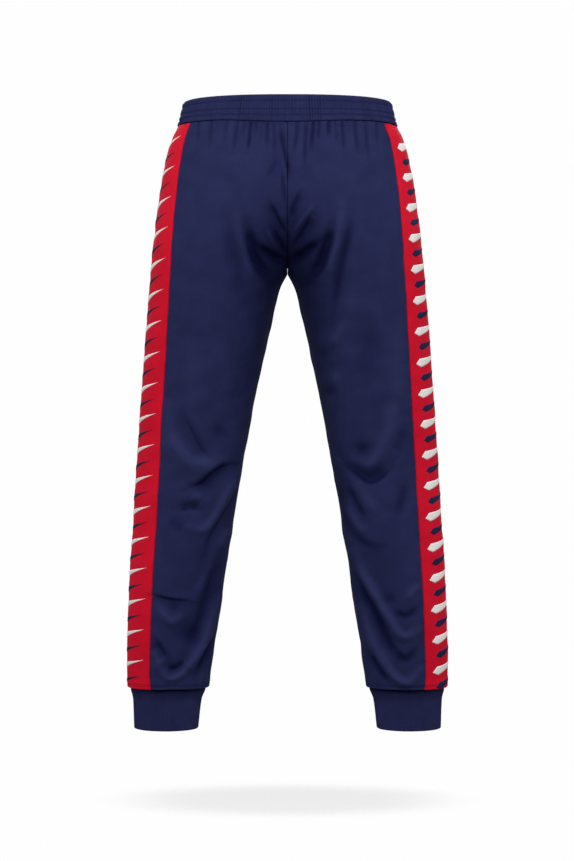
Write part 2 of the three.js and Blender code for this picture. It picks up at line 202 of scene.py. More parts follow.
def slot_half(z):
    """Half the gap that the front seam leaves: the zip's slot, or just a seam."""
    inside = np.minimum(ZIP_TOP_Z + ZIP_LIP_RAMP - z, z - (ZIP_BOTTOM_Z - ZIP_LIP_RAMP))
    part = np.clip(inside / ZIP_LIP_RAMP, 0, 1)
    return ZIP_LIP * part * part * (3 - 2 * part)


def unit(v):
    return v / np.maximum(np.linalg.norm(v, axis=-1, keepdims=True), 1e-9)


def normals(grid, closed=False):
    """Outward normals of a grid of points whose rows go down and whose columns go round."""
    if closed:
        across = (np.roll(grid, -1, 1) - np.roll(grid, 1, 1)) / 2
    else:
        across = np.gradient(grid, axis=1)
    down = np.gradient(grid, axis=0)
    return unit(np.cross(down, across))


def sheet_grid(z, start, end, columns):
    """Points of the left half between two seams, spaced evenly along the cloth, and their distance
    from the first seam."""
    sweep = start[:, None] + (end - start)[:, None] * np.linspace(0, 1, 400)[None]
    x, y = point_on(np.broadcast_to(z[:, None], sweep.shape), sweep)
    run = np.concatenate([np.zeros((len(z), 1)), np.cumsum(np.hypot(np.diff(x), np.diff(y)), 1)], 1)
    part = np.linspace(0, 1, columns + 1)
    angle = np.array([np.interp(part * r[-1], r, a) for r, a in zip(run, sweep)])
    x, y = point_on(np.broadcast_to(z[:, None], angle.shape), angle)
    grid = np.stack([x, y, np.broadcast_to(z[:, None], x.shape)], -1)
    return grid, run[:, -1:] * part[None]


# ---- Folds ----
# Each fold is (points, half-width, height): the points are (x, z) as seen from behind, the height is
# positive for a ridge and negative for a groove. A pair of half-widths is its two flanks, the first
# on the right of the way that the points go, as seen from behind with +X to the left.
SEAT_FOLDS = [
    ([(12, -46), (10, -66), (6, -88), (0, -118), (-1, -138)], (2.2, 5), -3.6),
    ([(9, -118), (6, -149), (3, -176)], 3.0, -2.6),
    ([(14, -100), (23, -120), (30, -132)], 5.0, -2.6),
    ([(-21, -154), (-11, -174), (-4, -198)], 4.0, -4.0),
    ([(29, -170), (20, -186), (10, -205), (2, -219)], 4.0, -4.2),
    ([(-39, -190), (-25, -214), (-10, -236)], 5.0, -4.8),
    ([(-44, -172), (-24, -196), (-8, -218)], 3.4, 2.4),
    ([(24, -208), (11, -232), (2, -248)], 5.0, -4.6),
    ([(34, -206), (22, -230), (10, -246)], 3.4, 2.4),
    ([(44, -236), (25, -250), (4, -257)], (6.0, 6.0), -8.0),
    ([(-48, -230), (-26, -246), (-4, -257)], (6.0, 6.0), -8.0),
    ([(63, -202), (56, -236), (45, -264), (30, -290)], (8.0, 9.0), -10.0),
    ([(-70, -206), (-61, -236), (-50, -264), (-33, -290)], (9.0, 8.0), -10.0),
    ([(-84, -178), (-79, -217), (-69, -256), (-58, -290)], 6.5, 4.6),
    ([(-101, -188), (-93, -226), (-83, -267), (-76, -300), (-66, -360)], (7.0, 7.0), -5.0),
    ([(80, -180), (74, -222), (64, -262), (52, -300)], 8.0, 2.6),
    ([(96, -196), (88, -236), (76, -290), (68, -330)], (10.0, 10.0), -3.4),
]
THIGH_FOLDS = [
    ([(74, -380), (70, -440), (82, -500)], (18.0, 18.0), -3.0),
    ([(143, -400), (146, -450), (150, -500)], 15.0, 2.0),
    ([(-103, -304), (-91, -351), (-75, -384)], 9.0, 2.6),
    ([(-131, -360), (-126, -410), (-121, -450)], (17.0, 17.0), -3.4),
    ([(-168, -360), (-171, -430), (-165, -490)], 12.0, 3.0),
    ([(-75, -382)], 11.0, 2.6),
    ([(-75, -441)], 11.0, 2.6),
    ([(-55, -404)], 8.0, -2.4),
    ([(-66, -463)], 9.0, -2.6),
]
LEFT_KNEE_FOLDS = [
    ([(190, -490), (183, -532), (168, -560), (148, -575), (122, -577), (98, -572)], (17, 11), 8.0),
    ([(152, -612), (134, -607), (118, -593), (103, -583), (88, -577)], (15, 6), -10.0),
    ([(164, -494), (150, -527), (136, -553), (124, -566)], 6.0, -2.8),
    ([(106, -527)], 13.0, -3.6),
    ([(172, -648), (153, -642), (136, -645)], (5, 9), -5.5),
    ([(150, -622), (134, -630)], 9.0, 3.0),
    ([(186, -664), (164, -682)], (7, 9), -2.6),
    ([(80, -594), (94, -620), (109, -651), (130, -677), (152, -676)], 7.0, 4.2),
    ([(76, -612), (88, -640), (106, -668), (120, -694), (126, -722)], 6.5, -4.4),
    ([(91, -676), (108, -714)], 7.0, 2.6),
]
RIGHT_KNEE_FOLDS = [
    ([(-167, -468), (-162, -511), (-152, -545), (-141, -568), (-126, -578), (-104, -572)], 10.0, 6.0),
    ([(-88, -574), (-108, -590), (-129, -602), (-147, -594), (-162, -580)], (5, 15), -7.6),
    ([(-117, -554)], 12.0, -4.2),
    ([(-186, -520), (-176, -542), (-168, -562)], (9, 9), -3.2),
    ([(-92, -606), (-106, -638), (-122, -664)], (6.5, 6.5), -4.2),
    ([(-187, -606), (-179, -634), (-170, -664)], (8, 8), -4.2),
    ([(-102, -600), (-122, -628), (-144, -660)], 9.0, 2.8),
    ([(-72, -571), (-82, -615), (-95, -674), (-121, -702), (-150, -706)], (7, 7), -3.4),
    ([(-92, -640), (-108, -669), (-126, -686)], 7.0, 3.0),
]
LEFT_SHIN_FOLDS = [
    ([(126, -680), (140, -770), (160, -880)], (34, 34), -3.4),
    ([(212, -781), (184, -788), (152, -791)], (11, 2.8), -4.2),
    ([(204, -796), (183, -822), (158, -808)], 7.5, 3.8),
    ([(179, -801)], 8.0, -2.8),
    ([(108, -720), (121, -742), (134, -766), (150, -790)], 8.0, 2.6),
    ([(93, -700), (112, -747), (124, -789), (134, -822), (144, -852), (160, -874)], (11, 11), -6.4),
    ([(106, -790), (121, -825), (133, -860), (152, -890), (170, -908), (188, -911), (204, -892)], 7.0, 7.0),
    ([(190, -896), (174, -898), (160, -885)], 7.5, -6.0),
    ([(208, -852), (190, -882)], 5.5, -4.2),
    ([(214, -866), (196, -894)], 6.0, 2.6),
    ([(112, -848), (127, -876), (147, -914)], (6.0, 6.0), -4.8),
    ([(158, -842)], 17.0, -4.0),
]
RIGHT_SHIN_FOLDS = [
    ([(-126, -680), (-142, -770), (-164, -890)], (34, 34), -3.4),
    ([(-104, -716), (-117, -747), (-134, -776), (-158, -818), (-180, -846), (-206, -836)], 7.5, 7.4),
    ([(-102, -737), (-119, -783), (-140, -821), (-158, -858), (-176, -884)], (8, 8), -6.2),
    (
        [(-115, -806), (-127, -838), (-138, -864), (-153, -889), (-170, -911), (-190, -918), (-208, -898)],
        7, 7.4,
    ),
    ([(-126, -872), (-142, -896), (-160, -919)], (6.0, 6.0), -4.6),
    ([(-168, -806), (-186, -814), (-206, -800)], (6, 6), -3.4),
    ([(-160, -789)], 9.0, -2.6),
    ([(-185, -788), (-208, -764)], 6.5, 3.2),
    ([(-166, -868), (-186, -882), (-207, -862)], (7, 7), -4.4),
]


def mirrored(folds, strength):
    return [([(-x, z) for x, z in points], width, height * strength) for points, width, height in folds]


WHISKERS = ((18, 70), (34, 88), (52, 84), (70, 72))  # the rise and reach of each, the lowest first
WHISKER_PITCH = 14


def whiskers():
    """The creases that fan out from the crotch over the front."""
    made = []
    for side in (1, -1):
        for k, (lift, reach) in enumerate(WHISKERS):
            foot = CROTCH_Z + WHISKER_PITCH * k
            start = (side * (6 + 3 * k), foot)
            middle = (side * (6 + reach * 0.55), foot - 4 + lift * 0.45)
            end = (side * (10 + reach), foot + lift)
            made.append(([start, middle, end], 6.0, -3.2 + 0.4 * k))
        made.append(([(side * 52, -250), (side * 66, -310), (side * 84, -390)], 12.0, -2.2))
    return made


# The grooves that hang from the waistband at the back: x at the top, x at the foot, z of the foot, depth.
BACK_GATHERS = [
    (139, 142, -78, 1.5),
    (119, 122, -82, 1.7),
    (94, 99, -78, 1.8),
    (77, 85, -90, 2.4),
    (66, 70, -66, 1.6),
    (55.6, 62, -88, 3.4),
    (48, 50, -60, 2.2),
    (39, 42, -72, 1.4),
    (31, 32, -82, 2.4),
    (21, 20, -98, 1.8),
    (-17, -10, -90, 2.4),
    (-30, -25, -112, 2.6),
    (-41, -36, -84, 3.4),
    (-50, -47, -70, 2.4),
    (-64, -64, -61, 3.2),
    (-74, -77, -74, 1.5),
    (-84, -89, -90, 2.4),
    (-105, -109, -88, 2.4),
    (-122, -126, -98, 2.2),
    (-140, -141, -82, 1.7),
    (-156, -158, -72, 1.3),
]


def back_gathers():
    made = []
    for top, foot, end, depth in BACK_GATHERS:
        start = -BAND_HEIGHT + 8
        middle = (start + end) / 2
        line = [(top, start), (top * 0.6 + foot * 0.4, middle), (foot, end - 6)]
        made.append((line, (2.9, 2.9), -depth))
    return made


def puckers(seed, edge):
    """The short, close folds that the band's stitching draws into the top of the cloth."""
    draw = np.random.default_rng(seed)
    made = []
    x = -edge
    while x < edge:
        top = -BAND_HEIGHT + 1
        foot = top - draw.uniform(7, 20)
        lean = draw.uniform(-1.5, 1.5)
        made.append(([(x, top), (x + lean, foot)], (2.1, 2.1), -draw.uniform(0.3, 0.9)))
        x += draw.uniform(4.5, 8.5)
    return made


def gathers(seed, edge):
    """The fine vertical folds that hang from the waistband, longest and closest near the centre."""
    draw = np.random.default_rng(seed)
    made = []
    x = -edge
    while x < edge:
        near = math.exp(-((x / 95) ** 2))
        length = draw.uniform(14, 26) + 26 * near * draw.uniform(0.5, 1)
        lean = 0.10 * x / 100 * length
        top = -BAND_HEIGHT - 1
        shape = [(x, top), (x + lean * 0.4, top - length / 2), (x + lean, top - length)]
        depth = draw.uniform(1.0, 2.1) * (0.45 + 0.55 * near)
        half = draw.uniform(1.8, 2.8)
        made.append((shape, (half, half), -depth))
        x += draw.uniform(6.5, 11) * (1.15 - 0.3 * near)
    return made


PUCKER_EDGE = 166  # half the width with puckers
GATHER_EDGE = 168  # half the front's width with gathers
KNEE_FOLDS = LEFT_KNEE_FOLDS + RIGHT_KNEE_FOLDS
SHIN_FOLDS = LEFT_SHIN_FOLDS + RIGHT_SHIN_FOLDS
BACK_FOLDS = (
    SEAT_FOLDS + THIGH_FOLDS + KNEE_FOLDS + SHIN_FOLDS + back_gathers() + puckers(3, PUCKER_EDGE)
)
FRONT_FOLDS = (
    whiskers() + mirrored(KNEE_FOLDS, 0.55) + mirrored(SHIN_FOLDS, 0.85)
    + gathers(11, GATHER_EDGE) + puckers(4, PUCKER_EDGE)
)


CURVE_STEPS = 8  # of a fold's curve between two of its points


def curve_through(points):
    """Points along a smooth curve through the given ones."""
    p = np.array(points, float)
    if len(p) == 2:
        return p
    p = np.vstack([2 * p[0] - p[1], p, 2 * p[-1] - p[-2]])
    t = np.linspace(0, 1, CURVE_STEPS, endpoint=False)[:, None]
    spans = [
        0.5 * (
            2 * b + (c - a) * t + (2 * a - 5 * b + 4 * c - d) * t**2 + (3 * b - a - 3 * c + d) * t**3
        )
        for a, b, c, d in zip(p, p[1:], p[2:], p[3:])
    ]
    return np.vstack(spans + [p[-2:-1]])


UNDERCUT = 2.6  # how much further a groove spreads below its line than above it: cloth hangs over it
FOLD_REACH = 2.4  # half-widths out to where a fold is felt
END_SHARE = 0.3  # of a fold's length, over which it fades at each end
END_HEIGHT = 0.25  # what is left of its height at the very end
NARROW = 8  # a fold's half-width at which its depth alone says how dark it is painted


def fold_height(folds, x, z):
    """The sum of the folds' heights at points seen from behind, and the same sum with narrow folds
    counting for more, for the painted shade inside them."""
    total = np.zeros(x.shape)
    inside = np.zeros(x.shape)
    for points, width, height in folds:
        if len(points) == 1:
            (cx, cz), = points
            bump = height * np.exp(-((x - cx) ** 2 + (z - cz) ** 2) / width**2)
            total += bump
            inside += bump
            continue
        undercut = UNDERCUT if height < 0 and not isinstance(width, tuple) else 0
        right, left = width if isinstance(width, tuple) else (width, width)
        reach = FOLD_REACH * max(right, left) * (1 + undercut)
        line = curve_through(points)
        near = (
            (x > line[:, 0].min() - reach) & (x < line[:, 0].max() + reach)
            & (z > line[:, 1].min() - reach) & (z < line[:, 1].max() + reach)
        )
        if not near.any():
            continue
        px = x[near]
        pz = z[near]
        best = np.full(px.shape, 1e9)
        side = np.zeros(px.shape)
        down = np.zeros(px.shape)
        along = np.zeros(px.shape)
        count = len(line) - 1
        for k in range(count):
            ax, az = line[k]
            dx, dz = line[k + 1] - line[k]
            span = dx * dx + dz * dz
            t = np.clip(((px - ax) * dx + (pz - az) * dz) / span, 0, 1)
            ox = px - ax - t * dx
            oz = pz - az - t * dz
            distance = np.hypot(ox, oz)
            closer = distance < best
            best = np.where(closer, distance, best)
            side = np.where(closer, np.sign(dx * oz - dz * ox), side)
            down = np.where(closer, -oz, down)
            along = np.where(closer, (k + t) / count, along)
        flank = np.where(side > 0, right, left)
        flank = flank * (1 + undercut * np.clip(down / np.maximum(best, 1e-6), 0, 1))
        ends = np.clip(np.minimum(along, 1 - along) / END_SHARE, 0, 1)
        ends = END_HEIGHT + (1 - END_HEIGHT) * ends * ends * (3 - 2 * ends)
        bump = height * ends * np.exp(-((best / flank) ** 2))
        total[near] += bump
        inside[near] += bump * np.clip(NARROW / flank, 0.6, 1.5)
    return total, inside


WAVES = np.random.default_rng(5)
WAVE_SET = [
    (WAVES.uniform(0, math.tau), math.tau / WAVES.uniform(34, 120), WAVES.uniform(0, math.tau))
    for _ in range(16)
]


def ripple(grid):
    """A faint unevenness all over the cloth."""
    x, y, z = np.moveaxis(grid, -1, 0)
    total = np.zeros(x.shape)
    for heading, rate, phase in WAVE_SET:
        total += np.sin(rate * (np.cos(heading) * (x + 0.7 * y) + np.sin(heading) * z) + phase)
    return total * 0.11


PAINTED_CREASE_SHADE = 0.088  # how much darker the knit is painted per millimetre of a fold's depth: painted shade in creases, painted highlight on ridges
PAINTED_HOLLOW_SHADE = 0.0115  # and per millimetre of the broad hollow below the seat: painted shade
# The limits of the painted shading: the darkest painted shade and the brightest painted highlight.
DARKEST = 0.36
BRIGHTEST = 1.25


def relief(grid, flip):
    """How far the cloth stands out from the plain surface, how far it lies to the rear of it, and the
    shading painted on it: painted shade in its creases and hollow, painted highlight on its ridges. flip is
    -1 on the right half."""
    x, y, z = np.moveaxis(grid, -1, 0)
    x = x * flip
    facing = (y - smooth("middle", z)) / smooth("depth", z)
    back = np.clip((facing + 0.25) / 0.6, 0, 1)
    back = back * back * (3 - 2 * back)
    behind, behind_inside = fold_height(BACK_FOLDS, x, z)
    before, before_inside = fold_height(FRONT_FOLDS, x, z)
    folds = back * behind + (1 - back) * before
    inside = back * behind_inside + (1 - back) * before_inside
    broad = back * form(x, z)
    # Painted shade in creases and in the hollow below the seat, painted highlight on ridges.
    painted_shading = np.clip(1 + PAINTED_CREASE_SHADE * inside + PAINTED_HOLLOW_SHADE * np.minimum(broad, 0), DARKEST, BRIGHTEST)
    return folds + ripple(np.stack([x, y, z], -1)), broad, painted_shading


def hump(x, z, centre, reach):
    """A smooth hump of height 1. reach is its half-width, and its half-heights above and below."""
    rise = np.where(z > centre[1], reach[1], reach[2])
    return np.exp(-(((x - centre[0]) / reach[0]) ** 2) - ((z - centre[1]) / rise) ** 2)


SEAT_FULLNESS = 5
HOLLOW_DEPTH = 34


def form(x, z):
    """The broad shape of the back: the seat's fullness, and the hollow below it towards the crotch."""
    seat = hump(x, z, (84, -128), (52, 62, 70)) + hump(x, z, (-84, -128), (52, 62, 70))
    hollow = hump(x, z, (0, -270), (60, 80, 240))
    return SEAT_FULLNESS * seat - HOLLOW_DEPTH * hollow


ROLL_RADIUS = 2.2
ROLL_DROP = 1.3


def rolled(distance):
    """How far the cloth turns in at a seam."""
    return -ROLL_DROP * np.clip(1 - distance / ROLL_RADIUS, 0, 1) ** 2


# ---- Meshes ----
def new_piece(name, points, quads, material, cloth, painted_shading=None):
    """A piece of the pants, with each point's place on the cloth and the light and shade painted at it."""
    mesh = bpy.data.meshes.new(name)
    mesh.vertices.add(len(points))
    mesh.vertices.foreach_set("co", (points * MM).astype(np.float32).ravel())
    mesh.loops.add(quads.size)
    mesh.loops.foreach_set("vertex_index", quads.astype(np.int32).ravel())
    mesh.polygons.add(len(quads))
    mesh.polygons.foreach_set("loop_start", np.arange(0, quads.size, quads.shape[1], dtype=np.int32))
    mesh.polygons.foreach_set("use_smooth", np.ones(len(quads), bool))
    mesh.update(calc_edges=True)
    layer = mesh.attributes.new("cloth", "FLOAT_VECTOR", "POINT")
    layer.data.foreach_set("vector", (cloth * MM).astype(np.float32).ravel())
    # The painted shading: a factor on the knit's colour, below 1 for painted shade and above 1 for painted
    # highlight.
    layer = mesh.attributes.new("painted_shading", "FLOAT", "POINT")
    painted_shading = np.ones(len(points)) if painted_shading is None else painted_shading
    layer.data.foreach_set("value", painted_shading.astype(np.float32))
    mesh.materials.append(material)
    piece = bpy.data.objects.new(name, mesh)
    bpy.context.scene.collection.objects.link(piece)
    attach(piece, "pants")
    return piece


def grid_quads(rows, columns, wrap_columns=False):
    """Faces of a grid of points, as indices into its flattened rows."""
    i = np.arange(rows - 1)[:, None]
    j = np.arange(columns if wrap_columns else columns - 1)[None]
    down = i + 1
    right = (j + 1) % columns
    quads = np.stack(
        [i * columns + j, down * columns + j, down * columns + right, i * columns + right], -1
    )
    return quads.reshape(-1, 4)


def shell(face, back, wrap_columns=False):
    """Points and faces of a closed sheet with the given outside and inside."""
    rows, columns = face.shape[:2]
    count = rows * columns
    outer = grid_quads(rows, columns, wrap_columns=wrap_columns)
    inner = outer[:, ::-1] + count
    strips = []

    def border(edge):
        edge = np.asarray(edge)
        a = edge[:-1]
        b = edge[1:]
        strips.append(np.stack([a, b, b + count, a + count], -1))

    top = list(range(columns)) + ([0] if wrap_columns else [])
    bottom = [(rows - 1) * columns + c for c in top]
    border(top)
    border(bottom[::-1])
    if not wrap_columns:
        border([r * columns for r in range(rows)][::-1])
        border([r * columns + columns - 1 for r in range(rows)])
    points = np.concatenate([face.reshape(-1, 3), back.reshape(-1, 3)])
    return points, np.concatenate([outer, inner] + strips)


def mirror(points, quads):
    return points * (-1, 1, 1), quads[:, ::-1]


# ---- Materials ----
class Nodes:
    """A material's node tree, with short ways to add to it."""

    def __init__(self, name):
        self.material = bpy.data.materials.new(name)
        self.material.use_nodes = True
        self.tree = self.material.node_tree
        self.shader = self.tree.nodes["Principled BSDF"]

    def add(self, kind, **values):
        node = self.tree.nodes.new(kind)
        for key, value in values.items():
            setattr(node, key, value)
        return node

    def link(self, source, target):
        self.tree.links.new(source, target)

    def math(self, operation, a, b=None):
        node = self.add("ShaderNodeMath", operation=operation)
        for socket, value in zip(node.inputs, (a, b)):
            if value is None:
                continue
            if hasattr(value, "is_output"):
                self.link(value, socket)
            else:
                socket.default_value = value
        return node.outputs[0]


PAINTED_BOUNCE_SHARE = 0.26  # how much of its strongest colour the painted shade keeps in the deepest creases, standing for light bounced there


def with_painted_shading(n, colour):
    """The cloth's colour with painted shading: painted shade in its creases, painted highlight on its
    ridges.
    The painted shade keeps mostly the cloth's strongest colour, as light that has bounced inside creases
    does."""
    painted_shading = n.add("ShaderNodeAttribute", attribute_name="painted_shading")
    deep = [c * PAINTED_BOUNCE_SHARE if c == max(colour) else 0 for c in colour]
    mix = n.add("ShaderNodeMix", data_type="RGBA", clamp_factor=False)
    n.link(painted_shading.outputs["Fac"], mix.inputs["Factor"])
    mix.inputs[6].default_value = (*deep, 1)
    mix.inputs[7].default_value = (*colour, 1)
    return mix.outputs[2]


def knit(
    name, colour, roughness, sheen, tint, pitch=1.0, mottle=0.10, bump=0.25, specular=0.5, shaped=True
):
    """A fine knit: wales and courses as bump, soft mottling in colour and gloss. shaped is False on the
    frame's own nodes, which have no place on the cloth and no painted shading."""
    n = Nodes(name)
    shader = n.shader
    place = n.add("ShaderNodeTexCoord")
    split = n.add("ShaderNodeSeparateXYZ")
    if shaped:
        where = n.add("ShaderNodeAttribute", attribute_name="cloth")
        n.link(where.outputs["Vector"], split.inputs[0])
    else:
        n.link(place.outputs["Object"], split.inputs[0])
    rate = math.tau / (pitch * MM)
    wale = n.math("SINE", n.math("MULTIPLY", split.outputs["X"], rate))
    course = n.math("SINE", n.math("MULTIPLY", split.outputs["Y"], rate * 1.25))
    loops = n.math("ADD", wale, n.math("MULTIPLY", course, 0.6))
    patch = n.add("ShaderNodeTexNoise")
    patch.inputs["Scale"].default_value = 38
    patch.inputs["Detail"].default_value = 5
    n.link(place.outputs["Object"], patch.inputs["Vector"])
    fuzz = n.add("ShaderNodeTexNoise")
    fuzz.inputs["Scale"].default_value = 900
    fuzz.inputs["Detail"].default_value = 2
    n.link(place.outputs["Object"], fuzz.inputs["Vector"])
    ramp = n.add("ShaderNodeMapRange")
    ramp.inputs["From Min"].default_value = 0.3
    ramp.inputs["From Max"].default_value = 0.7
    ramp.inputs["To Min"].default_value = 1 - mottle
    ramp.inputs["To Max"].default_value = 1 + mottle
    n.link(patch.outputs["Fac"], ramp.inputs["Value"])
    shade = n.math("MULTIPLY", ramp.outputs[0], n.math("ADD", n.math("MULTIPLY", loops, 0.035), 1.0))
    tone = n.add("ShaderNodeVectorMath", operation="SCALE")
    tone.inputs[0].default_value = colour
    n.link(shade, tone.inputs["Scale"])
    # Painted shade in creases and painted highlight on ridges, from the mesh's attribute.
    if shaped:
        n.link(with_painted_shading(n, colour), tone.inputs[0])
    n.link(tone.outputs[0], shader.inputs["Base Color"])
    shader.inputs["Specular Tint"].default_value = (*tint, 1)
    gloss = n.add("ShaderNodeMapRange")
    gloss.inputs["To Min"].default_value = roughness - 0.05
    gloss.inputs["To Max"].default_value = roughness + 0.05
    n.link(fuzz.outputs["Fac"], gloss.inputs["Value"])
    n.link(gloss.outputs[0], shader.inputs["Roughness"])
    height = n.math("ADD", loops, n.math("MULTIPLY", fuzz.outputs["Fac"], 1.2))
    raised = n.add("ShaderNodeBump")
    raised.inputs["Strength"].default_value = bump
    raised.inputs["Distance"].default_value = 0.00012
    n.link(height, raised.inputs["Height"])
    n.link(raised.outputs[0], shader.inputs["Normal"])
    shader.inputs["Sheen Weight"].default_value = sheen
    shader.inputs["Sheen Roughness"].default_value = 0.45
    shader.inputs["Sheen Tint"].default_value = (*tint, 1)
    shader.inputs["Specular IOR Level"].default_value = specular
    return n.material


NAVY = (0.0204, 0.0240, 0.0785)
RED = (0.62, 0.0065, 0.026)
WHITE = (0.86, 0.83, 0.81)
navy_knit = knit("navy_tricot", NAVY, 0.5, 0.02, (0.3, 0.35, 0.9), specular=0.01)
red_knit = knit("red_tricot", RED, 0.6, 0.01, (1, 0.4, 0.4), mottle=0.05, specular=0.05)
rib_knit = knit(
    "navy_rib", (0.0225, 0.0258, 0.0890), 0.75, 0.05, (0.35, 0.4, 0.85), pitch=0.9, specular=0.1
)
white_mark = knit("white_mark", WHITE, 0.6, 0.02, (1, 1, 1), mottle=0.03, bump=0.15, specular=0.1)
navy_mark = knit("navy_mark", (0.016, 0.018, 0.060), 0.6, 0.0, (0.3, 0.35, 0.9), bump=0.15, specular=0.05)
lining_knit = knit(
    "lining_mesh", (0.012, 0.013, 0.036), 0.8, 0.1, (0.4, 0.45, 0.8), pitch=2.2, bump=0.6, shaped=False
)
elastic_weave = knit(
    "elastic_weave", (0.78, 0.76, 0.7), 0.85, 0.1, (1, 1, 1), pitch=1.6, bump=0.8, shaped=False
)
label_satin = knit(
    "label_satin", (0.82, 0.8, 0.75), 0.45, 0.2, (1, 1, 1), pitch=0.5, mottle=0.02, shaped=False
)
tape_weave = knit(
    "zip_tape_weave", (0.0095, 0.0105, 0.031), 0.75, 0.2, (0.4, 0.45, 0.8),
    pitch=0.9, bump=0.6, shaped=False,
)


def metal(name, colour, roughness):
    n = Nodes(name)
    place = n.add("ShaderNodeTexCoord")
    scratch = n.add("ShaderNodeTexNoise")
    scratch.inputs["Scale"].default_value = 260
    scratch.inputs["Detail"].default_value = 4
    n.link(place.outputs["Object"], scratch.inputs["Vector"])
    gloss = n.add("ShaderNodeMapRange")
    gloss.inputs["To Min"].default_value = roughness - 0.08
    gloss.inputs["To Max"].default_value = roughness + 0.12
    n.link(scratch.outputs["Fac"], gloss.inputs["Value"])
    n.link(gloss.outputs[0], n.shader.inputs["Roughness"])
    n.shader.inputs["Base Color"].default_value = (*colour, 1)
    n.shader.inputs["Metallic"].default_value = 0.9
    return n.material


dark_metal = metal("dark_metal", (0.05, 0.05, 0.058), 0.35)
coil_plastic = metal("zip_coil_plastic", (0.012, 0.013, 0.03), 0.5)


# ---- Camera, lights and floor ----
def camera():
    data = bpy.data.cameras.new("camera")
    data.lens = LENS
    data.sensor_width = 36
    data.clip_end = 50
    made = bpy.data.objects.new("camera", data)
    made.location = (CAMERA_ACROSS, CAMERA_DISTANCE, CAMERA_HEIGHT)
    made.rotation_euler = (math.pi / 2, 0, math.pi)
    bpy.context.scene.collection.objects.link(made)
    bpy.context.scene.camera = made


def soft_light(name, place, target, size, power):
    data = bpy.data.lights.new(name, "AREA")
    data.shape = "RECTANGLE"
    data.size, data.size_y = size
    data.energy = power
    made = bpy.data.objects.new(name, data)
    made.location = place
    aim = np.array(target) - np.array(place)
    made.rotation_mode = "QUATERNION"
    made.rotation_quaternion = Vector(aim).to_track_quat("-Z", "Y")
    bpy.context.scene.collection.objects.link(made)


def studio():
    scene = bpy.context.scene
    scene.view_settings.view_transform = "Standard"
    world = bpy.data.worlds.new("studio")
    world.use_nodes = True
    scene.world = world
    tree = world.node_tree
    ambient = tree.nodes["Background"]
    ambient.inputs["Strength"].default_value = 1
    sky = tree.nodes.new("ShaderNodeTexCoord")
    split = tree.nodes.new("ShaderNodeSeparateXYZ")
    shade = tree.nodes.new("ShaderNodeMapRange")
    shade.interpolation_type = "SMOOTHSTEP"
    shade.inputs["From Min"].default_value = -0.5
    shade.inputs["From Max"].default_value = 0.8
    shade.inputs["To Min"].default_value = AMBIENT_BELOW
    shade.inputs["To Max"].default_value = AMBIENT_ABOVE
    tree.links.new(sky.outputs["Generated"], split.inputs[0])
    tree.links.new(split.outputs["Z"], shade.inputs["Value"])
    glow = tree.nodes.new("ShaderNodeMapRange")
    glow.interpolation_type = "SMOOTHSTEP"
    glow.inputs["From Min"].default_value = -0.9
    glow.inputs["From Max"].default_value = -0.35
    glow.inputs["To Min"].default_value = FLOOR_GLOW
    glow.inputs["To Max"].default_value = 0
    both = tree.nodes.new("ShaderNodeMath")
    tree.links.new(split.outputs["Z"], glow.inputs["Value"])
    tree.links.new(shade.outputs[0], both.inputs[0])
    tree.links.new(glow.outputs[0], both.inputs[1])
    tree.links.new(both.outputs[0], ambient.inputs["Color"])
    backdrop = tree.nodes.new("ShaderNodeBackground")
    backdrop.inputs["Color"].default_value = (BACKDROP, BACKDROP, BACKDROP, 1)
    backdrop.inputs["Strength"].default_value = 1
    seen = tree.nodes.new("ShaderNodeLightPath")
    choose = tree.nodes.new("ShaderNodeMixShader")
    tree.links.new(seen.outputs["Is Camera Ray"], choose.inputs[0])
    tree.links.new(ambient.outputs[0], choose.inputs[1])
    tree.links.new(backdrop.outputs[0], choose.inputs[2])
    tree.links.new(choose.outputs[0], tree.nodes["World Output"].inputs["Surface"])
    for word, way in (("behind", 1), ("front", -1)):
        soft_light(f"key_{word}", (0, way * 2.1, 1.7), (0, 0, -0.4), (1.8, 0.9), KEY)
        soft_light(f"lift_{word}", (0, way * 1.25, 0.3), (0, 0, -0.35), (1.4, 0.5), LIFT)
    for side in (1, -1):
        soft_light(f"side_{side}", (side * 2.9, 0.6, 0.1), (0, 0, -0.5), (1.2, 2.2), FILL)


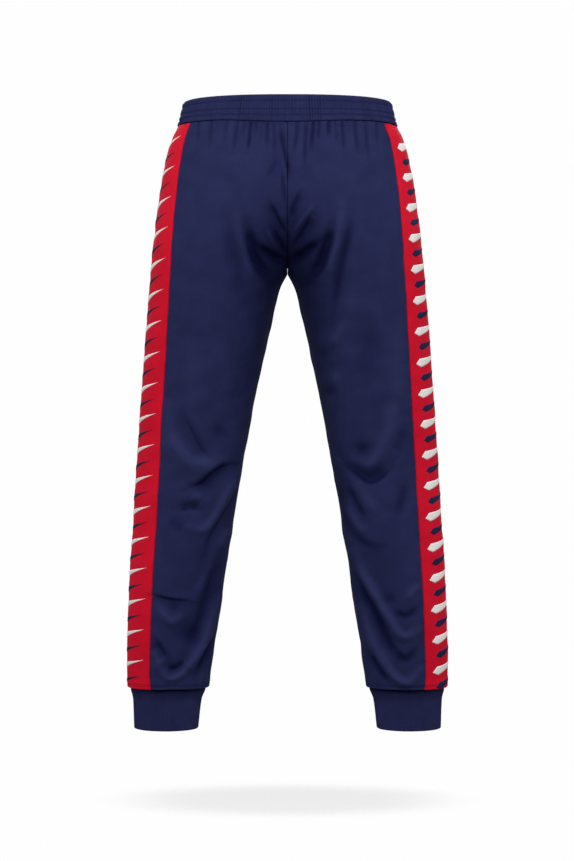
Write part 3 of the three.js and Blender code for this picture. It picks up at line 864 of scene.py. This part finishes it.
def floor():
    """The patch of pale floor under the legs that their shadow falls on, fading into the backdrop."""
    steps = 96
    wide, deep = FLOOR_REACH
    turn = np.linspace(0, math.tau, steps, endpoint=False)
    points = [(wide * math.cos(t), deep * math.sin(t), 0) for t in turn]
    mesh = bpy.data.meshes.new("floor")
    mesh.from_pydata(points, [], [tuple(range(steps))])
    n = Nodes("pale_floor")
    n.shader.inputs["Base Color"].default_value = (FLOOR_GREY, FLOOR_GREY, FLOOR_GREY, 1)
    n.shader.inputs["Roughness"].default_value = 1
    n.shader.inputs["Specular IOR Level"].default_value = 0
    place = n.add("ShaderNodeTexCoord")
    share = n.add("ShaderNodeVectorMath", operation="DIVIDE")
    share.inputs[1].default_value = (wide, deep, 1)
    n.link(place.outputs["Object"], share.inputs[0])
    length = n.add("ShaderNodeVectorMath", operation="LENGTH")
    n.link(share.outputs[0], length.inputs[0])
    fade = n.add("ShaderNodeMapRange", interpolation_type="SMOOTHSTEP")
    fade.inputs["From Min"].default_value = 0.42
    fade.inputs["From Max"].default_value = 0.98
    fade.inputs["To Min"].default_value = FLOOR_SHARE
    fade.inputs["To Max"].default_value = 0
    n.link(length.outputs["Value"], fade.inputs["Value"])
    clear = n.add("ShaderNodeBsdfTransparent")
    blend = n.add("ShaderNodeMixShader")
    n.link(fade.outputs[0], blend.inputs[0])
    n.link(clear.outputs[0], blend.inputs[1])
    n.link(n.shader.outputs[0], blend.inputs[2])
    n.link(blend.outputs[0], n.tree.nodes["Material Output"].inputs["Surface"])
    mesh.materials.append(n.material)
    made = bpy.data.objects.new("floor", mesh)
    made.location = (0, 0, FLOOR_Z)
    bpy.context.scene.collection.objects.link(made)


# ---- Leg and side panels ----
def rows_down():
    """The heights of a panel's rows of points, closer together near the band and the hem."""
    top = -BAND_HEIGHT - GAP
    near_band = np.arange(top, top - 6, -FINE_STEP)
    middle = np.arange(top - 6, HEM_Z + 16, -ROW_STEP)
    near_hem = np.arange(HEM_Z + 16, HEM_Z, -FINE_STEP)
    return np.concatenate([near_band, middle, near_hem, [HEM_Z]])


HEM_FULLNESS = 3.8
HEM_TURN = 5.5  # how far the hem's edge turns in
HEM_EDGE = 3.2  # the height over which it does


def hem_shape(z):
    """The turned-up hem: fuller than the cuff below it, with two rows of stitches."""
    up = z - HEM_Z
    full = HEM_FULLNESS * np.exp(-((up / 14) ** 2))
    turned = -HEM_TURN * np.clip(1 - up / HEM_EDGE, 0, 1) ** 2
    stitches = sum(-0.6 * np.exp(-(((up - row) / 0.75) ** 2)) for row in HEM_STITCHES)
    return full + turned + stitches


def painted_hem_shading(z):
    """How bright the hem is painted: painted shade at its edge and its stitches, and a painted highlight
    between the two.
    """
    up = z - HEM_Z
    edge = 0.75 * np.clip(1 - up / HEM_EDGE, 0, 1)
    stitches = sum(0.22 * np.exp(-(((up - row) / 0.9) ** 2)) for row in HEM_STITCHES)
    painted_highlight = 0.12 * np.exp(-(((up - 4.6) / 1.2) ** 2))
    return 1 - edge - stitches + painted_highlight


def panel(name, seams, material, node, flip):
    """One cloth panel between two seams. Returns the left half's points on its outside, their
    distances along the cloth from the first seam, and the heights of their rows."""
    z = rows_down()
    start, end = seams(z)
    columns = int(round(panel_width(z, start, end) / COLUMN_STEP))
    grid, run = sheet_grid(z, start, end, columns)
    out = away_from_the_middle(grid, normals(grid))
    width = run[:, -1:]
    edges = (rolled(run) + rolled(width - run)) * (1 - parting(grid))
    edges += rolled(-BAND_HEIGHT - GAP - z)[:, None] + hem_shape(z)[:, None]
    height, rearward, painted_shading = relief(grid, flip)
    # Painted shade at the hem's edge and stitches, painted highlight between them.
    painted_shading *= painted_hem_shading(z)[:, None]
    face = grid + out * (height + edges)[..., None]
    face[..., 1] += rearward
    face = seam_dip(face, np.clip(1 + (z + BAND_HEIGHT + GAP) / 50, 0, 1)[:, None])
    back = face - normals(face) * CLOTH
    points, quads = shell(face, back)
    cloth = np.stack([run, np.broadcast_to(z[:, None], run.shape), np.zeros(run.shape)], -1).reshape(-1, 3)
    if flip < 0:
        points, quads = mirror(points, quads)
    cloth = np.concatenate([cloth, cloth])
    painted_shading = np.concatenate([painted_shading.ravel(), painted_shading.ravel()])
    piece = new_piece(name, points, quads, material, cloth, painted_shading)
    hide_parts(node)
    return face, run, z


def parting(grid):
    """1 where the legs part, below the crotch's seam, and 0 away from there."""
    x, _, z = np.moveaxis(grid, -1, 0)
    return np.clip((CROTCH_Z - z) / 10, 0, 1) * (1 - np.clip(x / 25, 0, 1))


def away_from_the_middle(grid, out):
    """Directions to raise the cloth in, level with the centre seam where the halves meet."""
    x, _, z = np.moveaxis(grid, -1, 0)
    share = np.maximum(np.clip(x / 40, 0, 1), np.clip((CROTCH_Z - z) / 40, 0, 1))
    return unit(out * np.stack([share, np.ones(x.shape), np.ones(x.shape)], -1))


def seam_dip(grid, share):
    """Lowers the band's seam over the middle of the back, where the cloth hangs from it."""
    x, y, _ = np.moveaxis(grid, -1, 0)
    dip = SEAM_DIP * np.exp(-((x / 92) ** 2)) * np.clip(y / 60, 0, 1) * share
    return grid - np.stack([0 * dip, 0 * dip, dip], -1)


def panel_width(z, start, end):
    _, run = sheet_grid(z[::20], start[::20], end[::20], 2)
    return run[:, -1].max()


def legs(side, flip):
    def back_seams(z):
        return rear_seam(z), inner_seam(z)

    def side_seams(z):
        return walk(z, front_seam(z), -slot_half(z)), rear_seam(z)

    def front_seams(z):
        return -inner_seam(z), walk(z, front_seam(z), slot_half(z))

    panel(f"{side}_leg_back", back_seams, navy_knit, f"{side}_leg_back_panel", flip)
    red = panel(f"{side}_side_stripe", side_seams, red_knit, f"{side}_side_panel", flip)
    panel(f"{side}_leg_front", front_seams, navy_knit, f"{side}_leg_front_panel", flip)
    marks(side, flip, red)


# ---- Marks on the side panels ----
MARK_PITCH = 48.5
FIRST_WHITE_Z = -69
MARK_SLOPE = math.radians(12)
MARK_COUNT = 18
WHITE_SIZE = (96, 13.5)  # a mark's length and height
NAVY_SIZE = (82, 10.5)
WIDEST = 0.1  # how far along a mark is widest, as a share of its length
MARK_EDGE = 0.12  # how far a mark's edge stands out from the panel
MARK_RISE = 0.35  # and its middle beyond that


def kite(u, s, length, height):
    """A long straight-sided kite, widest near u = 0, with s from its lower to its upper edge."""
    half = height / 2 * np.minimum(u / WIDEST, (1 - u) / (1 - WIDEST))
    return u * length, s * half


def marks(side, flip, panel_grid):
    """Slanted kites in turn white and navy, laid on the side panel and rising towards their long ends.
    The left leg's point to the rear, and the right leg's to the front."""
    face, run, z = panel_grid
    out = normals(face)
    u = np.linspace(0, 1, 41)[None]
    s = np.linspace(-1, 1, 7)[:, None]
    lift = MARK_EDGE + MARK_RISE * np.clip((1 - np.abs(s)) * 3, 0, 1) + 0 * u
    for word, material, slot, first, (length, height) in (
        ("white", white_mark, "white_knit", FIRST_WHITE_Z, WHITE_SIZE),
        ("navy", navy_mark, "navy_knit", FIRST_WHITE_Z - MARK_PITCH / 2, NAVY_SIZE),
    ):
        points = []
        quads = []
        clothes = []
        blunt = (SIDE_PANEL_WIDTH - length) / 2 + 1
        for k in range(MARK_COUNT):
            a, b = kite(u, s, length, height)
            a = a - length / 2
            along = length / 2 + a * math.cos(MARK_SLOPE) - b * math.sin(MARK_SLOPE) + blunt
            level = first - MARK_PITCH * k + a * math.sin(MARK_SLOPE) + b * math.cos(MARK_SLOPE)
            if flip < 0:
                along = SIDE_PANEL_WIDTH - along
            top, normal = lookup(face, run, z, out, along, level)
            outer = top + normal * lift[..., None]
            inner = top - normal * 0.3
            if flip > 0:
                outer, inner = outer[::-1], inner[::-1]
            p, q = shell(outer, inner)
            quads.append(q + sum(len(x) for x in points))
            points.append(p)
            place = np.stack([along, level, np.zeros(along.shape)], -1)
            place = (place[::-1] if flip > 0 else place).reshape(-1, 3)
            clothes.append(np.concatenate([place, place]))
        points = np.concatenate(points)
        quads = np.concatenate(quads)
        if flip < 0:
            points, quads = mirror(points, quads)
        new_piece(f"{side}_{word}_marks", points, quads, material, np.concatenate(clothes))


def lookup(face, run, z, out, along, level):
    """Points and normals of a panel at distances from its first seam and heights."""
    rows = np.clip(np.interp(-level, -z, np.arange(len(z))), 0, len(z) - 1.001)
    i = rows.astype(int)
    f = (rows - i)[..., None]
    width = run[i, -1]
    # The slot at the zip takes some cloth off the first side, so distances count from the rear seam.
    columns = np.clip((width - (SIDE_PANEL_WIDTH - along)) / width, 0, 0.999) * (run.shape[1] - 1)
    j = columns.astype(int)
    g = (columns - j)[..., None]

    def blend(values):
        low = values[i, j] * (1 - g) + values[i, j + 1] * g
        high = values[i + 1, j] * (1 - g) + values[i + 1, j + 1] * g
        return low * (1 - f) + high * f

    return blend(face), unit(blend(out))


# ---- Waistband ----
def ring_points(z, steps):
    """Level rings of the surface at the heights z, with points spaced evenly round the garment."""
    grid, run = sheet_grid(z, np.full(z.shape, 0.0), np.full(z.shape, math.tau), steps)
    return grid[:, :-1], run[:, :-1]


STITCH_ROWS = (-10, -22, -30)
STITCH_WIDTH = 1.5
CASING_DEPTH = 5.6  # from the band's outside to its inside
BAND_TURN = 2.2  # height of the turned-over top
BAND_STEPS = 1500  # points round the band
PUFF = 0.95  # how far the casing stands out between its rows of stitches
PUCKER = 0.5  # and how deep its pleats are


def band_profile():
    """Heights, offsets and strengths of relief, up the outside, over the top, and down the inside."""
    profile = []
    for z in np.arange(-BAND_HEIGHT, -BAND_TURN, 0.8):
        profile.append((z, 0, 1))
    for angle in np.linspace(0, math.pi, 12):
        rise = BAND_TURN * math.sin(angle)
        profile.append((-BAND_TURN + rise, -CASING_DEPTH / 2 * (1 - math.cos(angle)), 0.5))
    for z in np.arange(-BAND_TURN - 0.6, -BAND_HEIGHT, -1.6):
        profile.append((z, -CASING_DEPTH, 0.6))
    profile.append((-BAND_HEIGHT + 0.1, -CASING_DEPTH, 0.6))
    profile.append((-BAND_HEIGHT + 0.1, -2.4, 0))
    return np.array(profile).T


def pleats():
    """The uneven fine pleats round the band: their heights, mostly between -1 and 1."""
    draw = np.random.default_rng(21)
    around = np.linspace(0, math.tau, BAND_STEPS, endpoint=False)
    pleat = np.zeros(BAND_STEPS)
    for count in draw.integers(150, 330, 14):
        pleat += np.sin(count * around + draw.uniform(0, math.tau))
    return pleat / 3.2


def waistband():
    """The casing: pleated by its elastic between rows of stitches, turned over at the top."""
    heights, offsets, strength = band_profile()
    grid, run = ring_points(heights, BAND_STEPS)
    out = normals_level(grid * (1, 1, 0))
    puff = np.ones(heights.shape)
    for row in STITCH_ROWS + (-BAND_HEIGHT - 0.5,):
        puff -= np.exp(-(((heights - row) / STITCH_WIDTH) ** 2))
    puff = np.clip(puff, -0.1, 1)
    pucker = pleats()[None] * (0.55 + 0.45 * puff[:, None])
    amount = (PUFF * puff[:, None] + PUCKER * pucker) * strength[:, None]
    inward = offsets[:, None] < -CASING_DEPTH + 0.1
    face = grid + out * (offsets[:, None] + amount * np.where(inward, -0.4, 1))[..., None]
    face = seam_dip(face, np.clip(-heights / BAND_HEIGHT, 0, 1)[:, None] ** 1.5)
    skin = normals(face[::-1], closed=True)[::-1]
    back = face - skin * CLOTH * 0.9
    points, quads = shell(face[::-1], back[::-1], wrap_columns=True)
    cloth = np.stack([run, np.broadcast_to(heights[:, None], run.shape), np.zeros(run.shape)], -1)
    cloth = cloth[::-1].reshape(-1, 3)
    # Painted shade in the stitch rows and between the pleats, painted highlight on the pleats.
    painted_shading = 0.74 + 0.26 * np.clip(puff, 0, 1)[:, None] + 0.09 * pucker * strength[:, None]
    painted_shading = painted_shading[::-1].ravel()
    piece = new_piece(
        "waistband", points, quads, navy_knit,
        np.concatenate([cloth, cloth]), np.concatenate([painted_shading, painted_shading]),
    )
    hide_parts("waistband_casing")


def normals_level(flat):
    """Level outward normals of closed rings."""
    across = np.roll(flat, -1, 1) - np.roll(flat, 1, 1)
    return unit(np.stack([across[..., 1], -across[..., 0], np.zeros(across.shape[:2])], -1))


# ---- Cuffs ----
RIBS = 150
RIB_HEIGHT = 0.38
CUFF_DEPTH = 4.4  # from the folded cuff's outside to its inside
CUFF_TURN = 2  # height of the fold at its foot
CUFF_CLOTH = 1.0
CUFF_TOP_Z = HEM_Z - GAP
PAINTED_SHADOW_X = 178  # where the shadow painted under the hem is darkest on the cuff


def cuff_profile():
    """Heights and offsets down the outside, round the fold, and up the inside."""
    fold_z = CUFF_BOTTOM_Z + CUFF_TURN
    profile = []
    for z in np.linspace(CUFF_TOP_Z, fold_z, 26):
        profile.append((z, 0))
    for angle in np.linspace(0.3, math.pi - 0.3, 9):
        profile.append((fold_z - CUFF_TURN * math.sin(angle), -CUFF_DEPTH / 2 * (1 - math.cos(angle))))
    for z in np.linspace(fold_z, CUFF_TOP_Z, 14):
        profile.append((z, -CUFF_DEPTH))
    return np.array(profile).T


def cuff(side, flip):
    """A folded rib cuff, its ribs running down the leg."""
    steps = RIBS * 8
    heights, offsets = cuff_profile()
    below = CUFF_TOP_Z - heights
    grid, run = ring_points(heights, steps)
    out = normals_level(grid * (1, 1, 0))
    around = np.linspace(0, math.tau, steps, endpoint=False)
    rib = np.cos(RIBS * around)[None]
    sway = 0.5 * np.cos(3 * around + 1)[None] + 0.3 * np.cos(7 * around)[None]
    loose = 0.6 * np.clip(below / 60, 0, 1)[:, None]
    tuck = -1.6 * np.clip(1 - below / 5, 0, 1)[:, None] ** 2
    inward = (offsets < -CUFF_DEPTH + 0.1)[:, None]
    outside = (offsets > -1)[:, None]
    amount = offsets[:, None] + (RIB_HEIGHT * rib + sway * loose) * np.where(inward, -0.5, 1)
    amount += np.where(outside, tuck, 0)
    face = grid + out * amount[..., None]
    skin = normals(face, closed=True)
    back = face - skin * CUFF_CLOTH
    points, quads = shell(face, back, wrap_columns=True)
    cloth = np.stack([run, np.broadcast_to(heights[:, None], run.shape), np.zeros(run.shape)], -1)
    cloth = cloth.reshape(-1, 3)
    if flip < 0:
        points, quads = mirror(points, quads)
    # A painted shadow under the hem's overhang, darkest at the back, and painted shade and highlight across
    # the ribs.
    across = 0.35 + 0.65 * np.exp(-(((grid[..., 0] - PAINTED_SHADOW_X) / 34) ** 2))
    painted_hem_shadow = np.exp(-((below / 6.5) ** 2))[:, None] * across
    painted_shading = (1 - 0.7 * painted_hem_shadow + 0.10 * rib).ravel()
    piece = new_piece(
        f"{side}_cuff", points, quads, rib_knit,
        np.concatenate([cloth, cloth]), np.concatenate([painted_shading, painted_shading]),
    )
    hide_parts(f"{side}_rib_cuff")


# ---- Carried-over CAD nodes ----
def finish_node(node, material):
    made = bpy.data.objects[node]
    made.data.materials.clear()
    made.data.materials.append(material)


def carried_over():
    """Materials for the frame's own nodes that show as they are."""
    finish_node("waistband_elastic", elastic_weave)
    finish_node("care_label", label_satin)
    for side in ("left", "right"):
        finish_node(f"{side}_drawcord_eyelet", dark_metal)
        finish_node(f"{side}_pocket_bag", lining_knit)
        finish_node(f"{side}_zip_bottom_stop", dark_metal)
        finish_node(f"{side}_zip_slider", dark_metal)
        finish_node(f"{side}_zip_pull", dark_metal)
        for half in ("front", "side"):
            finish_node(f"{side}_zip_tape_{half}", tape_weave)
            finish_node(f"{side}_zip_coil_{half}", coil_plastic)
            finish_node(f"{side}_zip_top_stop_{half}", dark_metal)


camera()
studio()
floor()
for side_name, side_flip in (("left", 1), ("right", -1)):
    legs(side_name, side_flip)
    cuff(side_name, side_flip)
waistband()
carried_over()
